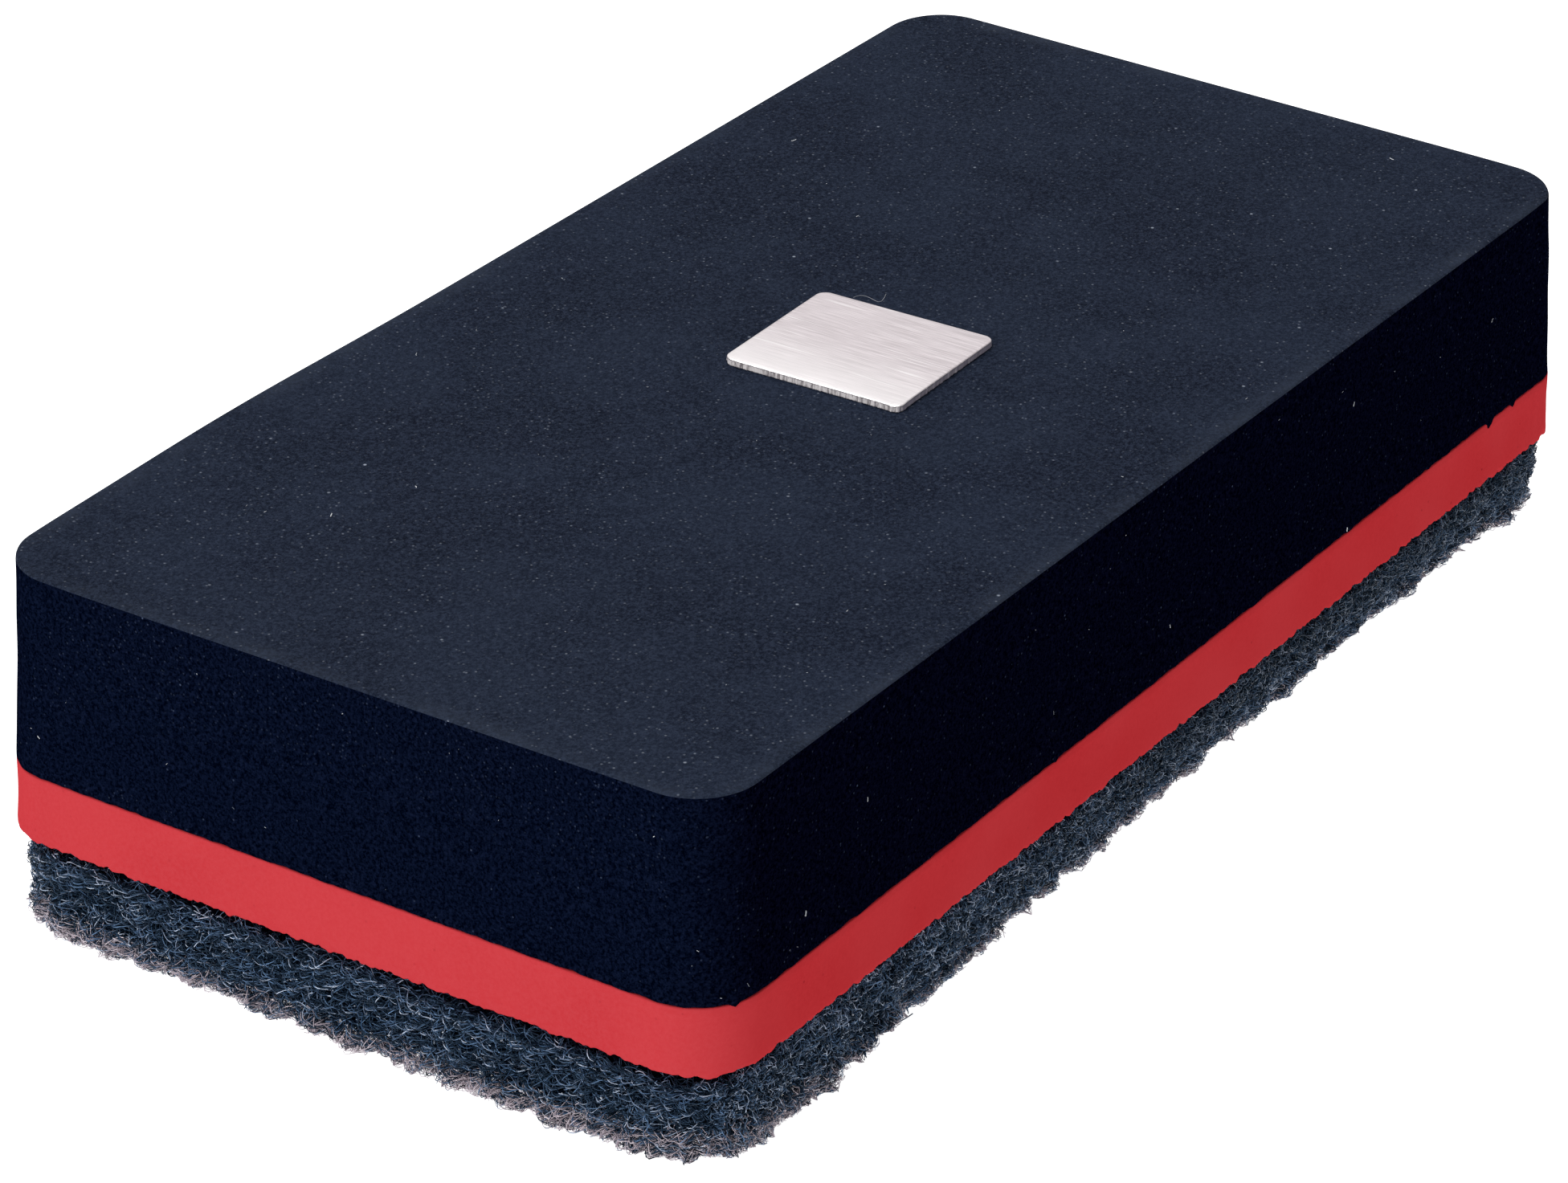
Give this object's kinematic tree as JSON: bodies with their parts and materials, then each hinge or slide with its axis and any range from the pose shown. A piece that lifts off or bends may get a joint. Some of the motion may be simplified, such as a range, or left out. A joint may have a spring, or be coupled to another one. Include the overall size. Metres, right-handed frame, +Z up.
{
  "type": "chalkboard eraser",
  "caption": "Block-shaped magnetic board eraser: a two-colour foam holder with a small steel badge, on a lift-off wiping pad of coarse fibre web.",
  "frame": {"origin": "on the resting face of the wiping pad, under the middle of the eraser", "axes": "+X along the length from the front end, where the badge is read from, to the rear end; +Y to the left side; +Z up from the pad to the badge"},
  "size_m": [0.12, 0.0614, 0.03],
  "materials": {
    "black_foam": "matt closed-cell foam with fine pale specks",
    "red_foam": "matt closed-cell foam",
    "fibre_web": "coarse open web of tangled fibres",
    "brushed_steel": "brushed across the eraser's width",
    "hook_plastic": "moulded hook tape",
    "nickel_plate": "nickel plated",
    "clear_adhesive": "thin adhesive film"
  },
  "bodies": {
    "pad": {"wiping_pad": "fibre_web"},
    "holder": {"black_foam_body": "black_foam", "red_foam_layer": "red_foam", "foam_bond_film": "clear_adhesive", "magnet_front_left": "nickel_plate", "magnet_front_right": "nickel_plate", "magnet_rear_left": "nickel_plate", "magnet_rear_right": "nickel_plate", "hook_strip_left": "hook_plastic", "hook_strip_left_adhesive": "clear_adhesive", "hook_strip_right": "hook_plastic", "hook_strip_right_adhesive": "clear_adhesive", "badge_plate": "brushed_steel", "badge_adhesive": "clear_adhesive"}
  },
  "joints": [
    {"name": "pad_release", "type": "slide", "parent": "pad", "child": "holder", "axis": [0, 0, 1], "range_m": [0, 0.03]}
  ]
}
